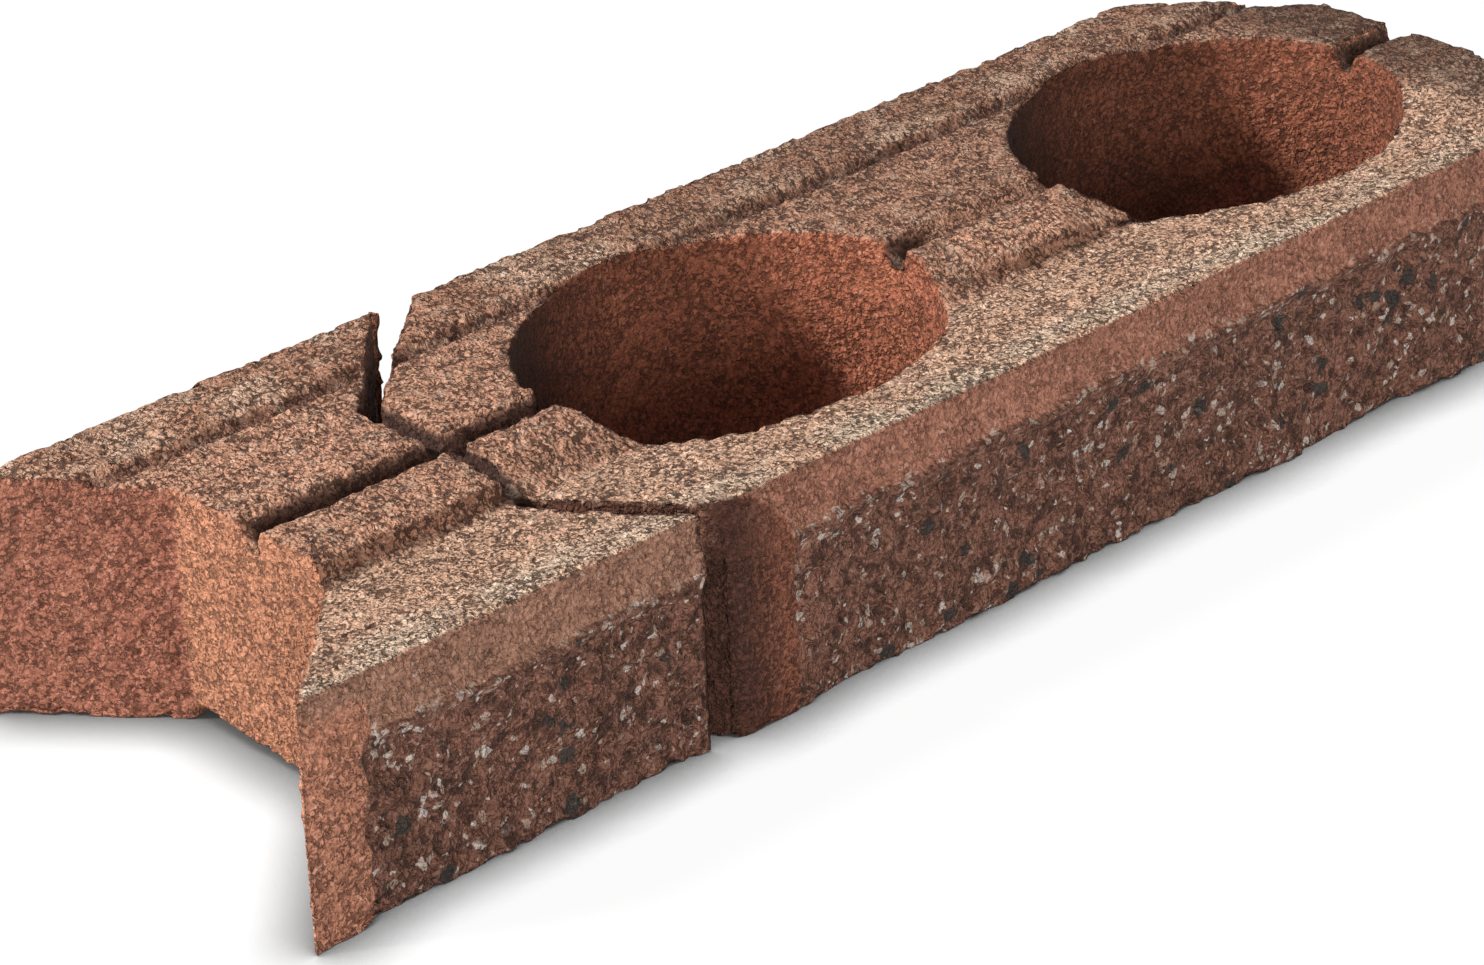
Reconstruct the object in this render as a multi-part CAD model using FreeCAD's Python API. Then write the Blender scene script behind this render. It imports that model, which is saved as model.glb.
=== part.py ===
import FreeCAD, Part
import os

V = FreeCAD.Vector

# Concrete wall block, cast in one piece. +X runs along the block, the face
# shown in the finished wall is at -Y, +Z is up. Millimetres.

# overall
length = 724.0            # left tip to right nose
depth = 225.0             # face to rear
height = 100.0            # top of the middle zone
rear_rise = 3.0           # rear bearing strip above the middle zone
rear_strip = 35.0         # width of that strip

# plan: the two segments and their ends
recess_depth = 74.0       # left recess, from the front tip to its flat
recess_front = 77.0       # face to the near corner of the recess's flat
recess_rear = 61.0        # rear to the far corner of the recess's flat
rear_tip_back = 52.0      # how far the rear tip reaches out from the flat
joint_x = 168.5           # line between the two segments, from the left tip
nose_rear_run = 69.0      # nose flank towards the rear, along X
nose_front_run = 33.0     # nose flank towards the face, along X
nose_flat_inset = 77.0    # face to the nose's flat
nose_rear_inset = 62.0    # rear to the nose's flat

# splitting slots and score grooves
slot_root = 5.0           # slot width along X where it starts
slot_mouth_rear = 17.0    # slot width along X at the rear
slot_mouth_front = 10.0   # slot width along X at the face
groove_width = 12.0       # long score groove at the top
groove_depth = 10.5
groove_floor = 4.0        # width at its bottom
groove_y = 119.0          # face to the long groove's centre
cross_width = 8.0         # cross score groove at the top
cross_depth = 9.0
cross_floor = 3.0

# cores
core_length = 185.0       # an ellipse in plan
core_width = 146.0
core_y = 116.0            # face to the cores' centre line
core_1_x = 313.0          # left tip to the first core's centre
core_pitch = 279.0        # between the core centres

# top surface in front of the tongue
tongue_front = 80.0       # face to the top of the tongue's front slope
tongue_run = 3.0          # its front slope, along Y
tongue_drop = 10.7        # its front slope, in height
band_set = 4.0            # smooth upper band of the face leans back by this
band_height = 26.0        # middle zone's top down to the band's foot
ramp_run = 26.0           # easier slope where there is no tongue
hump_length = 80.0        # tongue between the cores
hump_overlap = 10.0       # how far it runs on past the core's end
hump_side = 14.0          # its left side, sloped
fade_start = 110.0        # shelf levels out this far from the right end
fade_end = 45.0

# underside channel
channel_rear = 65.0       # rear to the channel's steep side
channel_depth = 8.0
channel_run = 73.0        # its roof slopes down to nothing over this
channel_wall = 3.0        # run of the steep side

edge_round = 2.5          # plan rounding of the nose's outer corners

left = -length / 2
right = length / 2
front = -depth / 2
rear = depth / 2
top = height + rear_rise
past = 20.0               # cutters reach past the block by this


def prism(points, z0, z1):
    ring = [V(x, y, z0) for x, y in points]
    face = Part.Face(Part.makePolygon(ring + ring[:1]))
    return face.extrude(V(0, 0, z1 - z0))


def along_x(points, x0, x1):
    """A cross-section in Y and Z, run from x0 to x1."""
    ring = [V(x0, y, z) for y, z in points]
    face = Part.Face(Part.makePolygon(ring + ring[:1]))
    return face.extrude(V(x1 - x0, 0, 0))


def loft_x(points_0, x0, points_1, x1):
    wires = []
    for points, x in ((points_0, x0), (points_1, x1)):
        ring = [V(x, y, z) for y, z in points]
        wires.append(Part.makePolygon(ring + ring[:1]))
    return Part.makeLoft(wires, True, True)


# ---- plan outline, without the slots
recess_x = left + recess_depth
flat_front = front + recess_front
flat_rear = rear - recess_rear
nose_front = front + nose_flat_inset
nose_rear = rear - nose_rear_inset
outline = [
    (left, front),
    (right - nose_front_run, front),
    (right, nose_front),
    (right, nose_rear),
    (right - nose_rear_run, rear),
    (recess_x - rear_tip_back, rear),
    (recess_x, flat_rear),
    (recess_x, flat_front),
]
block = prism(outline, 0.0, top)
corners = (outline[1], outline[4])
uprights = [e for e in block.Edges
            if any(e.CenterOfMass.isEqual(V(x, y, top / 2), 0.01) for x, y in corners)]
block = block.makeFillet(edge_round, uprights)

# ---- top surface: rear strip, middle zone, shelf and the face's upper band
step_y = rear - rear_strip
slope_top = front + tongue_front
slope_foot = slope_top - tongue_run
shelf_low = height - tongue_drop
band_foot = height - band_height
over = top + past


def top_cut(climb, low):
    """What lies above the block's top, seen along X."""
    return [
        (front - past, band_foot - past),
        (front, band_foot),
        (front + band_set, height),
        (slope_foot, low),
        (slope_foot + climb, height),
        (step_y - rear_rise, height),
        (step_y, top),
        (step_y, over),
        (front - past, over),
    ]


joint = left + joint_x
hump_end = left + core_1_x + core_pitch - core_length / 2 + hump_overlap
hump_start = hump_end - hump_length
steep = top_cut(tongue_run, shelf_low)
easy = top_cut(ramp_run, shelf_low)
level = top_cut(ramp_run, height)
cuts = [
    along_x(steep, left - past, joint),
    along_x(easy, joint, hump_start - hump_side),
    loft_x(easy, hump_start - hump_side, steep, hump_start),
    along_x(steep, hump_start, hump_end),
    along_x(easy, hump_end, right - fade_start),
    loft_x(easy, right - fade_start, level, right - fade_end),
    along_x(level, right - fade_end, right + past),
]

# ---- the two cores, straight through the height
for i in range(2):
    centre = V(left + core_1_x + i * core_pitch, front + core_y, -past)
    half_axes = (max(core_length, core_width) / 2, min(core_length, core_width) / 2)
    oval = Part.Ellipse(centre, *half_axes).toShape()
    cuts.append(Part.Face(Part.Wire(oval)).extrude(V(0, 0, over + past)))

# ---- slots between the segments, straight through the height
half = slot_root / 2


def slot(y_root, y_mouth, run, mouth):
    """From the joint's line out through one long side, then past it."""
    reach = (y_mouth - y_root)
    grow = past / abs(reach)
    x_in = joint - half
    x_out = joint - half + run
    widen = (mouth - slot_root)
    return prism([
        (x_in, y_root),
        (x_out + run * grow, y_mouth + reach * grow),
        (x_out + mouth + (run + widen) * grow, y_mouth + reach * grow),
        (x_in + slot_root, y_root),
    ], -past, over)


cuts.append(slot(nose_rear, rear, nose_rear_run - slot_mouth_rear + slot_root, slot_mouth_rear))
cuts.append(slot(nose_front, front, nose_front_run - slot_mouth_front + slot_root, slot_mouth_front))


# ---- score grooves in the top, V-shaped with a narrow floor
def groove_profile(centre, width, floor, z_top, deep):
    lean = (width - floor) / 2 / deep
    high = past
    return [
        (centre - floor / 2, z_top - deep),
        (centre + floor / 2, z_top - deep),
        (centre + width / 2 + lean * high, z_top + high),
        (centre - width / 2 - lean * high, z_top + high),
    ]


long_groove = groove_profile(front + groove_y, groove_width, groove_floor, height, groove_depth)
cuts.append(along_x(long_groove, left - past, right + past))
cross = groove_profile(joint, cross_width, cross_floor, height, cross_depth)
ring = [V(x, nose_front - half, z) for x, z in cross]
cuts.append(Part.Face(Part.makePolygon(ring + ring[:1])).extrude(V(0, nose_rear - nose_front + slot_root, 0)))

# ---- channel along the underside
wall_y = rear - channel_rear
cuts.append(along_x([
    (wall_y + channel_wall, -past), (wall_y + channel_wall, 0.0),
    (wall_y, channel_depth), (wall_y - channel_run, 0.0), (wall_y - channel_run, -past),
], left - past, right + past))

for tool in cuts:
    block = block.cut(tool)
block = block.removeSplitter()
wall_block = block.Solids[0]

os.makedirs("parts", exist_ok=True)
wall_block.exportStep("parts/wall_block.step")
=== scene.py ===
import math

import bpy
import numpy as np
from mathutils import Matrix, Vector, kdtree


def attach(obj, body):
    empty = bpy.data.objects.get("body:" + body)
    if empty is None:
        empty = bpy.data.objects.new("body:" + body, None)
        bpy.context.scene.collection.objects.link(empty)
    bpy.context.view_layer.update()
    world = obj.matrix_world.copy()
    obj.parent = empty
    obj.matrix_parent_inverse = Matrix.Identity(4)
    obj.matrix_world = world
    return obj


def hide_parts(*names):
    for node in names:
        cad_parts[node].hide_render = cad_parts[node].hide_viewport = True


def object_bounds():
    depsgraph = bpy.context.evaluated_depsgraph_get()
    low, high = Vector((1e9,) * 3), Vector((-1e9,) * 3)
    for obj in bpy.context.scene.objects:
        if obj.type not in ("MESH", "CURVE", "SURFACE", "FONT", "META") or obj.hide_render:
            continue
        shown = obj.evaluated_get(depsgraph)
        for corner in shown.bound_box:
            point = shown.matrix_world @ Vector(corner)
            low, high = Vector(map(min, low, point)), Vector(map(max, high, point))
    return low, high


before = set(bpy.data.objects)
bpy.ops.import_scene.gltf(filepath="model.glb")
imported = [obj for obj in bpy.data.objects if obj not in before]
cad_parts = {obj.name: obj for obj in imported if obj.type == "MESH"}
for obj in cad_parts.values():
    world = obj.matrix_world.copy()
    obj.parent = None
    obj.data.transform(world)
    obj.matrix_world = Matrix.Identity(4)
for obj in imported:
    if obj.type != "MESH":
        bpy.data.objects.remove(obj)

cad_box = [list(corner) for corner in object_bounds()]
low, high = np.array(cad_box[0]) * 1000, np.array(cad_box[1]) * 1000

# Sizes in millimetres. Places on the block are X from its left tip, Y from its face, Z up.
VOXEL = 1.7
MOST_TRIANGLES = 196000
CAD_ORIGIN = (362.0, 112.5, 0.0)
SPLIT_TOP = 74          # upper lip of the split face
BAND_TOP = 100
WAIST_FRONT, WAIST_REAR = 77, 163
SHELF_LOW = 89.3
REAR_STEP = 190
LEFT_PANEL_X = 31       # where each split panel begins
RIGHT_PANEL_X = 238
JOINT_X = 204           # the front slot's right side, at its mouth
CORE_X = (220.5, 499.5)  # left end of each core
CORE_LENGTH = 185
HALF_WAY = 450          # between the two cores


def lattice(cell, seed):
    """A repeatable number from 0 to 1 for each whole-number cell."""
    c = cell.astype(np.int64)
    h = (c[:, 0] * 73856093) ^ (c[:, 1] * 19349663) ^ (c[:, 2] * 83492791) ^ (seed * 39916801)
    h &= 0xFFFFFFFF
    h = ((h ^ (h >> 15)) * 2246822519) & 0xFFFFFFFF
    h = ((h ^ (h >> 13)) * 3266489917) & 0xFFFFFFFF
    return (h ^ (h >> 16)) / 0xFFFFFFFF


def noise(p, size, seed, octaves=1):
    """Smooth noise from 0 to 1, with lumps about size millimetres across."""
    total, weight, reach = np.zeros(len(p)), 0.0, 1.0
    for o in range(octaves):
        q = p / size * 2 ** o + 17.3 * o
        base = np.floor(q)
        t = q - base
        t = t * t * (3 - 2 * t)
        value = np.zeros(len(p))
        for i in range(8):
            corner = np.array([i & 1, i >> 1 & 1, i >> 2])
            share = np.prod(np.where(corner, t, 1 - t), axis=1)
            value += share * lattice(base + corner, seed + o)
        total += reach * value
        weight += reach
        reach *= 0.5
    return total / weight


def stones(p, size, seed):
    """Millimetres to the nearest scattered point, and a number from 0 to 1 for that point."""
    q = p / size
    base = np.floor(q)
    nearest = np.full(len(p), 9.0)
    name = np.zeros(len(p))
    for i in range(27):
        cell = base + np.array([i % 3 - 1, i // 3 % 3 - 1, i // 9 - 1])
        point = cell + np.stack([lattice(cell, seed + k) for k in (1, 2, 3)], axis=1)
        d = np.linalg.norm(point - q, axis=1)
        closer = d < nearest
        nearest[closer] = d[closer]
        name[closer] = lattice(cell, seed + 4)[closer]
    return nearest * size, name


def rise(x, a, b):
    """0 below a, 1 above b, smooth between. With b below a it falls instead."""
    t = np.clip((x - a) / (b - a), 0, 1)
    return t * t * (3 - 2 * t)


def within(x, a, b, soft):
    return rise(x, a - soft, a + soft) * rise(x, b + soft, b - soft)


def positions(mesh):
    co = np.empty(len(mesh.vertices) * 3)
    mesh.vertices.foreach_get("co", co)
    return co.reshape(-1, 3) * 1000


def normals(mesh):
    n = np.empty(len(mesh.vertices) * 3)
    mesh.vertices.foreach_get("normal", n)
    return n.reshape(-1, 3)


def with_modifier(obj, kind, **settings):
    """The mesh that one modifier makes of obj."""
    m = obj.modifiers.new("step", kind)
    for name, value in settings.items():
        setattr(m, name, value)
    made = bpy.data.meshes.new_from_object(obj.evaluated_get(bpy.context.evaluated_depsgraph_get()))
    obj.modifiers.remove(m)
    return made


def sharp_edges(mesh, spacing):
    """Points along the outward corners of the CAD mesh."""
    corner = {}
    for face in mesh.polygons:
        ring = [tuple(round(v * 1e5) for v in mesh.vertices[i].co) for i in face.vertices]
        for a, b in zip(ring, ring[1:] + ring[:1]):
            corner.setdefault(frozenset((a, b)), []).append((face.normal, face.center))
    points = []
    for ends, sides in corner.items():
        if len(sides) != 2 or len(ends) != 2:
            continue
        (n1, c1), (n2, c2) = sides
        if n1.dot(n2) > 0.88 or (c2 - c1).dot(n1) > -1e-7:
            continue
        a, b = (np.array(e) / 100 for e in sorted(ends))
        steps = max(1, int(np.linalg.norm(b - a) / spacing))
        points += [a + (b - a) * (k + 0.5) / steps for k in range(steps)]
    return points


# The block's surface: the CAD solid, remeshed finely enough to be worn and broken.
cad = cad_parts["wall_block"]
block = bpy.data.objects.new("block_surface", cad.data.copy())
bpy.context.scene.collection.objects.link(block)
block.data = with_modifier(block, "REMESH", mode="VOXEL", voxel_size=VOXEL / 1000)

co = positions(block.data)
n = normals(block.data)
at = co + np.array(CAD_ORIGIN)
x, y, z = at.T

tree_points = sharp_edges(cad.data, 1.5)
tree = kdtree.KDTree(len(tree_points))
for i, p in enumerate(tree_points):
    tree.insert(p, i)
tree.balance()
to_edge = np.array([tree.find(p)[2] for p in co])

facing_front = rise(-n[:, 1], 0.2, 0.6)
facing_up = rise(n[:, 2], 0.5, 0.85)
facing_down = rise(-n[:, 2], 0.6, 0.9)

# The split panels, with a ragged border. Their relief is the same through the first few
# millimetres behind the face, so that the edges break with it.
face = at * np.array([1.0, 0.0, 1.0])
ragged = noise(face, 9, 11, 3) - 0.5
lip = SPLIT_TOP + 7 * ragged
left_panel = within(x + 10 * ragged, LEFT_PANEL_X, 400, 1.2) * (x < JOINT_X - 4)
right_panel = rise(x + 10 * ragged, RIGHT_PANEL_X - 2, RIGHT_PANEL_X + 2) * (x > JOINT_X - 4)
area = rise(z, lip + 1.5, lip - 1.5) * np.maximum(left_panel, right_panel)
panel = area * rise(y, 5, 2) * rise(n[:, 1], 0.1, -0.1)
nose_panel = rise(x, 688, 694) * rise(y, 84, 76) * rise(n[:, 0], 0.2, 0.5)
nose_panel = nose_panel * rise(z, lip + 1.5, lip - 1.5)
panel = np.maximum(panel, nose_panel)

stone_gap, stone_name = stones(face, 9, 51)
big = noise(face, 34, 21, 2)
mid = noise(face, 11, 31, 2)
fine = noise(face, 4.5, 41, 2)
broken = 0.1 + 3.4 * rise(big, 0.3, 0.75) + 3.0 * mid + 2.2 * fine
broken -= 2.0 * rise(stone_gap, 4.4, 2.2) * (stone_name > 0.4)
broken += 2.2 * rise(stone_gap, 4.2, 1.5) * (stone_name < 0.16)
broken = np.maximum(broken, 0.1) * area * rise(y, 16, 2) * rise(x, 722, 690)
broken *= (1 - 0.75 * rise(z, lip - 9, lip - 1)) * (0.75 + 0.25 * rise(z, 0, 12))
# The break runs evenly down to the slot's corner.
slot_end = within(x, 187, 198, 3) * rise(y, 16, 2)
broken += slot_end * (2.8 * area - broken)
above_lip = rise(z, lip - 1, lip + 2.5) * rise(z, 100, 88) * rise(y, 14, 3) * within(x, 34, 690, 3)
above_lip *= 1 - within(x, 196, 240, 4)

# Open texture, pits and crumbled corners everywhere else. The left wing's tip and the corner
# at the front slot stay crisp, and the underside keeps only its pits.
pit_gap, pit_name = stones(at, 6.5, 71)
pit = rise(pit_gap, 2.6, 0.9) * (pit_name > 0.25)
open_grain = 0.1 + 1.8 * noise(at, 4.8, 81, 3) + 0.7 * noise(at, 42, 91)
crumb = noise(at, 5.5, 101, 2)
worn = rise(to_edge, 5.0, 0.4) * (0.35 + 2.6 * rise(crumb, 0.42, 0.8))
crisp = np.maximum(rise(x, 34, 8) * rise(y, 40, 12), within(x, 182, 202, 2) * rise(y, 70, 50))
plain = open_grain * (1 - facing_down) + 1.0 * pit + worn * (1 - 0.75 * crisp)

plain *= 1 - 0.5 * panel
nose_break = nose_panel * (1.0 + 3.0 * noise(at, 9, 111, 3))
moved = co - n * (plain + nose_break)[:, None]
rounded = rise(x, 216, 203) ** 2 * (x > JOINT_X - 5) * rise(y, 12, 3)
moved[:, 1] += broken + 1.5 * above_lip + 2.6 * rounded
moved[:, 0] -= 0.15 * broken * rise(x, 165, 190) * (x < JOINT_X - 4)

top_corner = within(x, 182, 198, 1) * rise(y, 20, 10) * rise(n[:, 0], 0.2, 0.6) * rise(z, 62, 82)
moved[:, 0] += 3.2 * top_corner

# The tongue's crest is softened, and the hump between the cores runs out towards the second one.
on_top = (z > 85) * within(x, 77, 690, 2) * within(y, 60, 205, 2)
crest = on_top * rise(y, 94, 80) * rise(y, 76, 79) * np.maximum(rise(x, 172, 164), within(x, 425, 500, 5))
moved[:, 2] -= 2.2 * crest
run_out = within(x, 482, 530, 14) * within(y, 76, 112, 1) * (z > 85)
ramp = np.minimum(SHELF_LOW + (BAND_TOP - SHELF_LOW) * (y - WAIST_FRONT) / 32, BAND_TOP) - plain
moved[:, 2] += run_out * np.minimum(ramp - moved[:, 2], 0)
# Between the cores the long groove has filled with crumbs; a step runs along the rear strip.
filled = within(x, 428, 505, 8) * within(y, 112, 126, 2) * rise(z, 99, 96) * (z > 85)
moved[:, 2] += 0.6 * filled * (98 - moved[:, 2])
step_foot = facing_up * within(y, 184, 188.5, 1.2) * (z > 95) * (0.5 + noise(at, 12, 131, 2))
moved[:, 2] -= 1.8 * step_foot
moved = np.clip(moved, low, high)
block.data.vertices.foreach_set("co", (moved / 1000).ravel())
block.data.update()


# Colours of each part of the surface, in linear light, carried as a colour attribute.
def blend(a, b, t):
    return a * (1 - t[:, None]) + np.array(b) * t[:, None]


patchy = noise(at, 28, 121, 3)
shelf = facing_up * rise(y, WAIST_FRONT + 4, WAIST_FRONT - 6)
rear_strip = facing_up * rise(y, REAR_STEP - 2, REAR_STEP + 3)
in_core = np.maximum(within(x, 218, 408, 1), within(x, 497, 687, 1))
in_core = (1 - facing_up) * within(y, 42, 190, 1) * in_core
band = facing_front * (y < 12) * rise(z, SPLIT_TOP - 2, SPLIT_TOP + 2)
tip = facing_front * (x < 36) * (y < 12) * (1 - panel)
arch = 60 + 40 * np.sqrt(np.clip(1 - ((x - JOINT_X) / 35) ** 2, 0, 1))
corner = within(x, JOINT_X - 5, 240, 1) * rise(z, arch + 1, arch - 1.5) * rise(y, 16, 8)
corner = corner * (1 - panel) * (x > JOINT_X - 5)
slot_shade = (1 - facing_up) * within(x, 165, 242, 1) * (y < 222)
slot_shade = slot_shade * np.maximum(rise(y, 78, 76) * (x < 206), rise(y, 162, 164))
cross_groove_shade = within(x, 165.2, 171.8, 0.8) * within(y, 74, 166, 1) * rise(z, 99, 95)
wing_end = (1 - facing_up) * (x < 76) * (y > WAIST_REAR)

groove = rise(z, 98.5, 96) * (z > 85) * np.maximum(
    within(y, 112, 126, 1) * (x > 79), within(x, 163, 174, 1) * within(y, 77, 163, 2))
on_top *= 1 - in_core
tint = np.tile(np.array([0.53, 0.272, 0.178]), (len(at), 1))
tint = blend(tint, (0.53, 0.232, 0.135), (1 - facing_up) * (y > 2) * (1 - on_top))
tint = blend(tint, (0.40, 0.157, 0.102), wing_end)
# Painted shade: the grooves are coloured dark brown, less so where crumbs fill the long groove between the
# cores.
tint = blend(tint, (0.17, 0.085, 0.06), groove * (x > 4) * (x < 720) * (1 - 0.7 * filled))
# Painted shade: the walls of the front and rear slots are coloured dark.
tint = blend(tint, (0.15, 0.065, 0.042), slot_shade)
# Painted shade: the narrow cross groove is coloured near black.
tint = blend(tint, (0.06, 0.028, 0.02), cross_groove_shade)
tint = blend(tint, (0.63, 0.375, 0.255), shelf)
tint = blend(tint, (0.62, 0.45, 0.33), shelf * rise(y, 36, 14) * rise(patchy, 0.35, 0.6))
tint = blend(tint, (0.47, 0.235, 0.150), rear_strip)
tint = blend(tint, (0.56, 0.345, 0.24), rear_strip * rise(patchy, 0.4, 0.65))
# Painted shadow: a dark line along the foot of the rear strip's step.
tint = blend(tint, (0.24, 0.115, 0.078), np.clip(step_foot, 0, 1))
tint = blend(tint, (0.46, 0.235, 0.16), band)
tint = blend(tint, (0.47, 0.208, 0.14), band * rise(x, 190, 210))
tint = blend(tint, (0.62, 0.27, 0.172), tip * rise(z, 92, 84))
# Painted shadow: the rounded corner beside the front slot is coloured near black at the slot and lighter to
# the right, where the left segment's shadow falls.
tint = blend(tint, (0.11, 0.045, 0.03), corner)
tint = blend(tint, (0.30, 0.11, 0.068), corner * rise(x, 208, 238))
# Painted shade and light in the cores: their walls are coloured dark, darkest on the left walls and in the
# second core, and lighter towards the right ends, where light falls.
tint = blend(tint, (0.31, 0.107, 0.060), in_core)
across = np.where(x < HALF_WAY, x - CORE_X[0], x - CORE_X[1]) / CORE_LENGTH
shaded = 0.14 + 0.80 * rise(across, 0.15, 0.6) + 0.42 * rise(across, 0.7, 0.95)
shaded = shaded * np.where(x < HALF_WAY, 1, 0.72)
tint *= (1 + in_core * (shaded - 1))[:, None]
tint = blend(tint, (0.30, 0.142, 0.100), panel)
tint *= (0.80 + 0.40 * patchy)[:, None]
# Painted shade: the top is coloured up to 27% darker towards its right and rear.
tint *= (1 - 0.27 * rise(x, 150, 450) * rise(y, 60, 110) * facing_up * (1 - in_core))[:, None]
# Painted shade: the right nose's top is coloured much darker.
tint *= (1 - 0.6 * rise(x, 660, 695) * facing_up)[:, None]
# Painted shade: the front-facing slopes of the top are coloured darker.
slope_shade = on_top * rise(-n[:, 1], 0.2, 0.5) * within(y, 70, 90, 3)
tint *= (1 - 0.22 * slope_shade)[:, None]
# Painted light: the top of the hump between the cores is coloured lighter.
hump = facing_up * within(x, 425, 492, 6) * within(y, 84, 110, 3)
tint *= (1 + 0.32 * hump)[:, None]

masks = np.concatenate([np.clip(tint, 0, 1), np.ones((len(at), 1))], axis=1)
lip_line = facing_front * (y < 12) * rise(np.abs(z - lip), 4, 1) * (1 - tip) * (1 - corner)
side = (1 - facing_up) * (1 - band) * (1 - on_top)
flags = np.stack([panel, lip_line, facing_up * (1 - in_core), 1 - 0.65 * band - 0.35 * side], axis=1)

# Down to the triangle budget, with each kept vertex taking its colour from where it was.
if len(block.data.polygons) * 2 > MOST_TRIANGLES:
    block.data = with_modifier(block, "DECIMATE", ratio=MOST_TRIANGLES / 2 / len(block.data.polygons))
kept = positions(block.data)
near = kdtree.KDTree(len(moved))
for i, p in enumerate(moved):
    near.insert(p, i)
near.balance()
source = np.array([near.find(p)[1] for p in kept])
kept = np.clip(kept, low, high)
block.data.vertices.foreach_set("co", (kept / 1000).ravel())
block.data.update()
for name, values in (("tint", masks), ("flags", flags)):
    layer = block.data.color_attributes.new(name, "FLOAT_COLOR", "POINT")
    layer.data.foreach_set("color", values[source].astype(np.float32).ravel())
block.data.polygons.foreach_set("use_smooth", [True] * len(block.data.polygons))


# The concrete: mould skin, open grain, pits, pale grit, and stones in the split faces.
class Nodes:
    def __init__(self, tree):
        self.tree = tree
        tree.nodes.clear()

    def add(self, kind, values=None, **settings):
        node = self.tree.nodes.new(kind)
        for name, value in settings.items():
            setattr(node, name, value)
        for socket, value in (values or {}).items():
            if isinstance(value, bpy.types.NodeSocket):
                self.tree.links.new(value, node.inputs[socket])
            else:
                node.inputs[socket].default_value = value
        return node

    def math(self, operation, *values, clamp=False):
        node = self.add("ShaderNodeMath", dict(enumerate(values)), operation=operation, use_clamp=clamp)
        return node.outputs[0]

    def vector(self, operation, values):
        return self.add("ShaderNodeVectorMath", values, operation=operation).outputs[0]

    def step(self, value, a, b):
        """0 at a, 1 at b, smooth between."""
        node = self.add("ShaderNodeMapRange", {0: value, 1: a, 2: b}, interpolation_type="SMOOTHSTEP")
        return node.outputs[0]

    def mix(self, share, a, b, blend_type="MIX"):
        node = self.add("ShaderNodeMix", {0: share, 6: a, 7: b}, data_type="RGBA", blend_type=blend_type)
        return node.outputs[2]

    def noise(self, where, size, detail=2.0, roughness=0.55):
        values = {"Vector": where, "Scale": 1000 / size, "Detail": detail, "Roughness": roughness}
        return self.add("ShaderNodeTexNoise", values).outputs["Fac"]

    def cells(self, where, size):
        node = self.add("ShaderNodeTexVoronoi", {"Vector": where, "Scale": 1000 / size})
        name = self.add("ShaderNodeSeparateColor", {0: node.outputs["Color"]})
        return node.outputs["Distance"], name.outputs[0], name.outputs[1]


concrete = bpy.data.materials.new("concrete")
concrete.use_nodes = True
s = Nodes(concrete.node_tree)
where = s.add("ShaderNodeTexCoord").outputs["Object"]
tint_in = s.add("ShaderNodeAttribute", attribute_name="tint").outputs["Color"]
flags_node = s.add("ShaderNodeAttribute", attribute_name="flags")
flags_in = s.add("ShaderNodeSeparateColor", {0: flags_node.outputs["Color"]})
is_split, is_lip, is_up = (flags_in.outputs[i] for i in range(3))


def bend(size, reach):
    """Object coordinates pushed about by up to half of reach millimetres."""
    values = {"Vector": where, "Scale": 1000 / size, "Detail": 1.0}
    scatter = s.add("ShaderNodeTexNoise", values).outputs["Color"]
    centred = s.vector("SUBTRACT", {0: scatter, 1: (0.5, 0.5, 0.5)})
    push = s.vector("SCALE", {0: centred, "Scale": reach / 1000})
    return s.vector("ADD", {0: where, 1: push})


bent = bend(2.2, 3.4)

# grains and the open crevices between them
grain = s.noise(where, 2.1, 3.0, 0.72)
speck = s.noise(where, 0.9, 0.0)
lump_gap, lump_name, _ = s.cells(bent, 2.3)
lump = s.step(lump_gap, 0.75, 0.1)
clump = s.noise(where, 8, 1.0)
between = s.math("MULTIPLY", s.step(lump_gap, 0.59, 0.72), s.step(clump, 0.38, 0.56))
pit = s.step(s.math("MULTIPLY_ADD", clump, 0.22, s.noise(bent, 2.0, 1.0, 0.6)), 0.685, 0.740)
crevice = s.math("MAXIMUM", between, s.math("MULTIPLY", pit, 0.9))
crevice = s.math("MULTIPLY", crevice, s.math("MULTIPLY_ADD", is_lip, -0.5, 1.0))
crevice = s.math("MULTIPLY", crevice, flags_node.outputs["Alpha"])

shade = s.math("MULTIPLY_ADD", s.step(grain, 0.25, 0.75), 1.08, s.math("MULTIPLY", lump, 0.38))
shade = s.math("MULTIPLY_ADD", s.math("SUBTRACT", lump_name, 0.5), 0.45, shade)
shade = s.math("MULTIPLY_ADD", speck, 0.62, s.math("ADD", shade, -0.06))
calm = s.math("MULTIPLY_ADD", is_up, 0.18, 0.66)
shade = s.math("MULTIPLY_ADD", s.math("ADD", shade, -1.0), calm, 1.02)
grey = s.add("ShaderNodeCombineColor", {0: shade, 1: shade, 2: shade}).outputs[0]
colour = s.mix(1.0, tint_in, grey, "MULTIPLY")
lift = s.math("MULTIPLY", s.step(shade, 0.95, 1.9), 0.45)
colour = s.mix(lift, colour, s.mix(1.0, tint_in, (1.35, 1.75, 1.95, 1), "MULTIPLY"))
dust = s.math("MULTIPLY", s.step(s.noise(where, 11, 3.0, 0.65), 0.5, 0.66), s.math("MULTIPLY", is_up, 0.35))
colour = s.mix(dust, colour, (0.60, 0.44, 0.33, 1))
light_grain = s.math("MULTIPLY", s.step(lump_name, 0.93, 0.97), s.math("MULTIPLY", lump, 0.6))
colour = s.mix(light_grain, colour, s.mix(1.0, tint_in, (1.5, 2.1, 2.5, 1), "MULTIPLY"))
# Painted shade: the crevices between grains and the pits are coloured dark brown, less on the lip, the band
# and the sides.
colour = s.mix(s.math("MULTIPLY", crevice, 0.85), colour, (0.055, 0.023, 0.015, 1))

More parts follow.
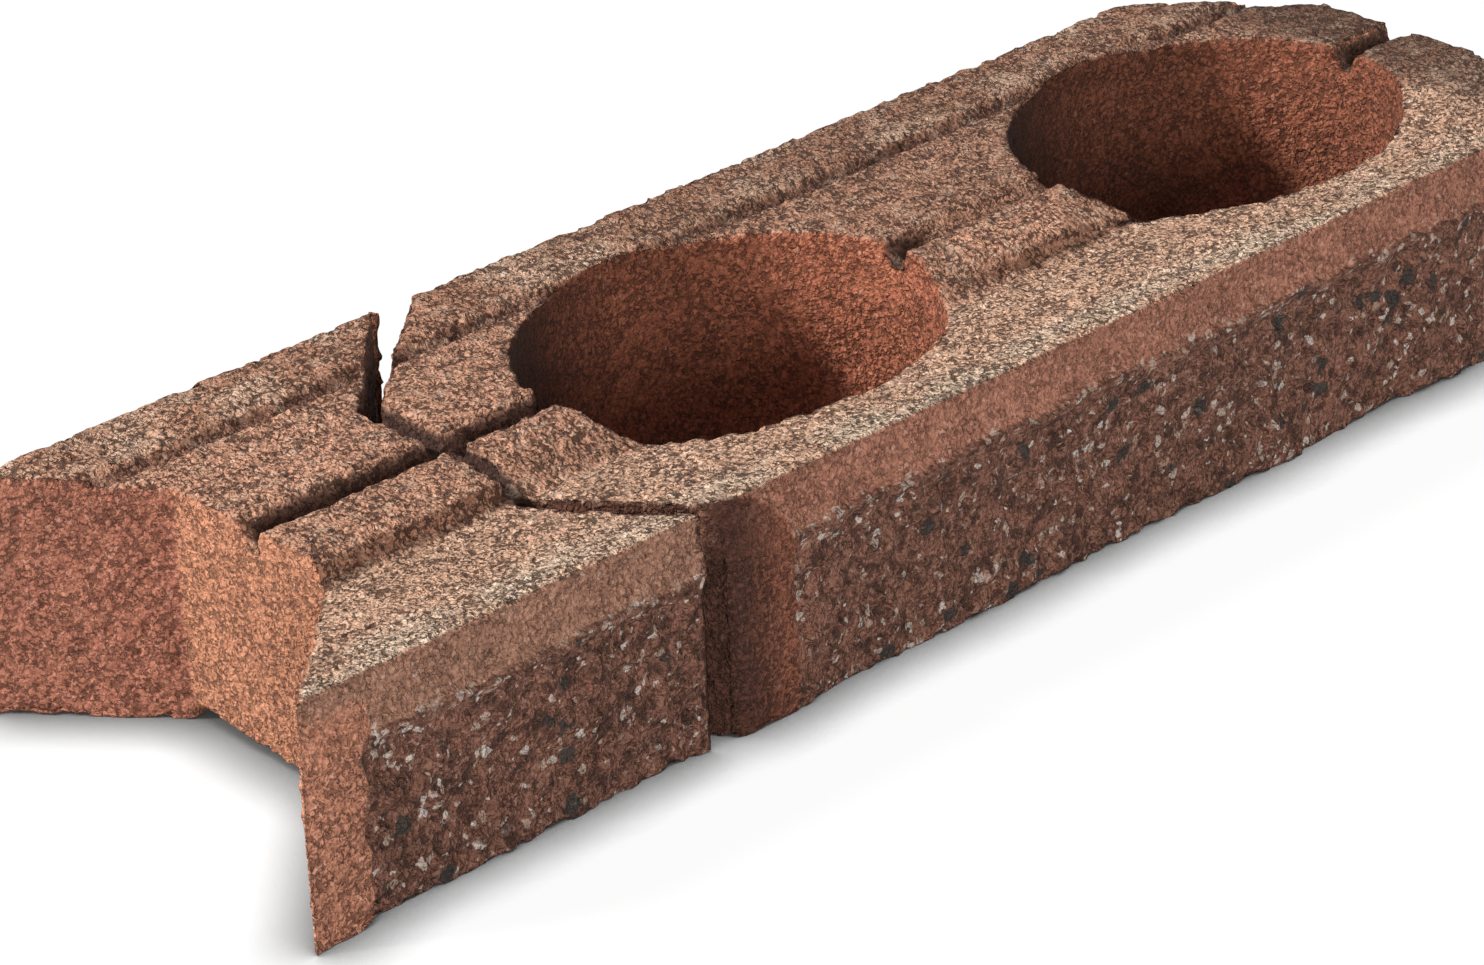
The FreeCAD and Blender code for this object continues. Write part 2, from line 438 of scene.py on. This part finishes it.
# stones and torn chips in the split faces and along their lip
torn = bend(3.2, 5.0)
stone_gap, stone_name, _ = s.cells(torn, 8.5)
cluster = s.step(s.noise(where, 26, 2.0), 0.5, 0.66)
inside = s.step(stone_gap, 0.55, 0.42)
dark = s.math("MULTIPLY", inside, s.step(stone_name, 0.10, 0.09))
chip_gap, chip_name, chip_tone = s.cells(torn, 4.2)
keep = s.math("ADD", chip_name, s.math("MULTIPLY", cluster, 0.2))
keep = s.math("MULTIPLY_ADD", is_lip, 0.26, keep)
chip = s.math("MULTIPLY", s.step(chip_gap, 0.55, 0.40), s.step(keep, 0.925, 0.95))
small_gap, small_name, _ = s.cells(torn, 2.5)
few = s.step(s.math("MULTIPLY_ADD", cluster, 0.05, small_name), 0.92, 0.94)
small = s.math("MULTIPLY", s.step(small_gap, 0.5, 0.35), few)
chip = s.math("MAXIMUM", chip, small)
face = s.math("MAXIMUM", is_split, is_lip)
pale = s.math("MULTIPLY", s.math("MULTIPLY", chip, face), s.step(grain, 0.25, 0.45))
dark = s.math("MULTIPLY", dark, is_split)
rock = s.noise(where, 7, 3.0, 0.65)
ruddy = s.math("MULTIPLY", s.step(rock, 0.5, 0.68), s.math("MULTIPLY", is_split, 0.6))
colour = s.mix(ruddy, colour, (0.38, 0.17, 0.115, 1))
# Painted shade: the low parts of the split faces' relief are coloured near black.
hollow_shade = s.math("MULTIPLY", s.step(rock, 0.49, 0.36), s.math("MULTIPLY", is_split, 0.75))
colour = s.mix(hollow_shade, colour, (0.07, 0.035, 0.027, 1))
chalk = s.mix(chip_tone, (0.95, 0.86, 0.78, 1), (0.58, 0.38, 0.28, 1))
colour = s.mix(s.math("MULTIPLY", pale, 0.8), colour, chalk)
colour = s.mix(s.math("MULTIPLY", dark, 0.85), colour, (0.05, 0.052, 0.048, 1))

height = s.math("MULTIPLY_ADD", grain, 0.58, s.math("MULTIPLY", speck, 0.20))
height = s.math("MULTIPLY_ADD", lump, 0.40, height)
height = s.math("MULTIPLY_ADD", crevice, -1.15, height)
height = s.math("MULTIPLY_ADD", s.math("MULTIPLY", rock, is_split), 4.0, height)
bump = s.add("ShaderNodeBump", {"Strength": 1.0, "Distance": 0.0019, "Height": height})
rough = s.add("ShaderNodeMapRange", {0: grain, 1: 0.2, 2: 0.8, 3: 0.98, 4: 0.86}).outputs[0]
shader = s.add("ShaderNodeBsdfPrincipled", {
    "Base Color": colour, "Roughness": rough, "Normal": bump.outputs[0], "Specular IOR Level": 0.25})
s.add("ShaderNodeOutputMaterial", {0: shader.outputs[0]})
block.data.materials.clear()
block.data.materials.append(concrete)

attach(block, "root")
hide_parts("wall_block")

# Floor: white to the camera, with a painted contact shadow from ambient occlusion that darkens it next to
# the block, and a faint real shadow in its lit part.
floor_mesh = bpy.data.meshes.new("floor")
floor_mesh.from_pydata([(-9, -9, 0), (9, -9, 0), (9, 9, 0), (-9, 9, 0)], [], [(0, 1, 2, 3)])
floor = bpy.data.objects.new("floor", floor_mesh)
bpy.context.scene.collection.objects.link(floor)
white = bpy.data.materials.new("floor_white")
white.use_nodes = True
f = Nodes(white.node_tree)
path = f.add("ShaderNodeLightPath")
seen = f.math("MAXIMUM", path.outputs["Is Camera Ray"], path.outputs["Is Glossy Ray"])
seen = f.math("MAXIMUM", seen, path.outputs["Is Transmission Ray"])
# Painted shadow: ambient occlusion dims the floor's glow next to the block.
contact = f.add("ShaderNodeAmbientOcclusion", {"Distance": 0.028}, samples=3).outputs["AO"]
clear = f.add("ShaderNodeMapRange", {0: contact, 1: 0.5, 2: 0.97, 3: 0.02, 4: 0.94}).outputs[0]
glow = f.add("ShaderNodeEmission", {"Strength": clear})
lit = f.add("ShaderNodeBsdfDiffuse", {"Color": (0.08, 0.08, 0.08, 1)})
shown = f.add("ShaderNodeAddShader", {0: glow.outputs[0], 1: lit.outputs[0]})
bounce = f.add("ShaderNodeBsdfDiffuse", {"Color": (0.5, 0.5, 0.5, 1)})
both = f.add("ShaderNodeMixShader", {0: seen, 1: bounce.outputs[0], 2: shown.outputs[0]})
f.add("ShaderNodeOutputMaterial", {0: both.outputs[0]})
floor_mesh.materials.append(white)

# Light: a soft lamp behind and to the left, a weaker one in front, and even light all round.
world = bpy.data.worlds.new("studio")
bpy.context.scene.world = world
world.use_nodes = True
w = Nodes(world.node_tree)
path = w.add("ShaderNodeLightPath")
seen = w.math("MAXIMUM", path.outputs["Is Camera Ray"], path.outputs["Is Glossy Ray"])
seen = w.math("MAXIMUM", seen, path.outputs["Is Transmission Ray"])
strength = w.math("MULTIPLY_ADD", seen, 0.77, 0.23)
sky = w.add("ShaderNodeBackground", {"Color": (1, 1, 1, 1), "Strength": strength})
w.add("ShaderNodeOutputWorld", {0: sky.outputs[0]})


def aim(obj, place, towards):
    """Puts obj at place, looking along towards, upright."""
    back = -np.array(towards) / np.linalg.norm(towards)
    side = np.cross((0, 0, 1), back)
    side /= np.linalg.norm(side)
    turn = Matrix([[*row] for row in np.stack([side, np.cross(back, side), back], axis=1)])
    obj.matrix_world = Matrix.Translation(place) @ turn.to_4x4()


LAMPS = (("key", (-0.66, 0.42, 0.60), 1.25, 8), ("fill", (-0.50, -0.83, 0.24), 0.50, 20))
for name, towards, power, spread in LAMPS:
    lamp = bpy.data.lights.new(name, "SUN")
    lamp.energy = power * math.pi
    lamp.angle = math.radians(spread)
    lamp.color = (1.0, 0.98, 0.95)
    light = bpy.data.objects.new(name, lamp)
    bpy.context.scene.collection.objects.link(light)
    aim(light, tuple(3 * v for v in towards), [-v for v in towards])

# The camera, level with the view from the front left corner, tilted a little on its own axis.
view = bpy.data.cameras.new("camera")
view.sensor_width = 36
view.lens = 118.62
camera = bpy.data.objects.new("camera", view)
bpy.context.scene.collection.objects.link(camera)
azimuth, elevation, roll = (math.radians(v) for v in (42.2, 27.1, -2.44))
level = math.cos(elevation)
aim(camera, (-1.2139, -1.2844, 0.9160),
    (math.sin(azimuth) * level, math.cos(azimuth) * level, -math.sin(elevation)))
camera.matrix_world = camera.matrix_world @ Matrix.Rotation(roll, 4, "Z")
bpy.context.scene.camera = camera

bpy.context.scene.view_settings.view_transform = "Standard"

print("remeshed", len(co), "triangles", sum(len(p.vertices) - 2 for p in block.data.polygons))
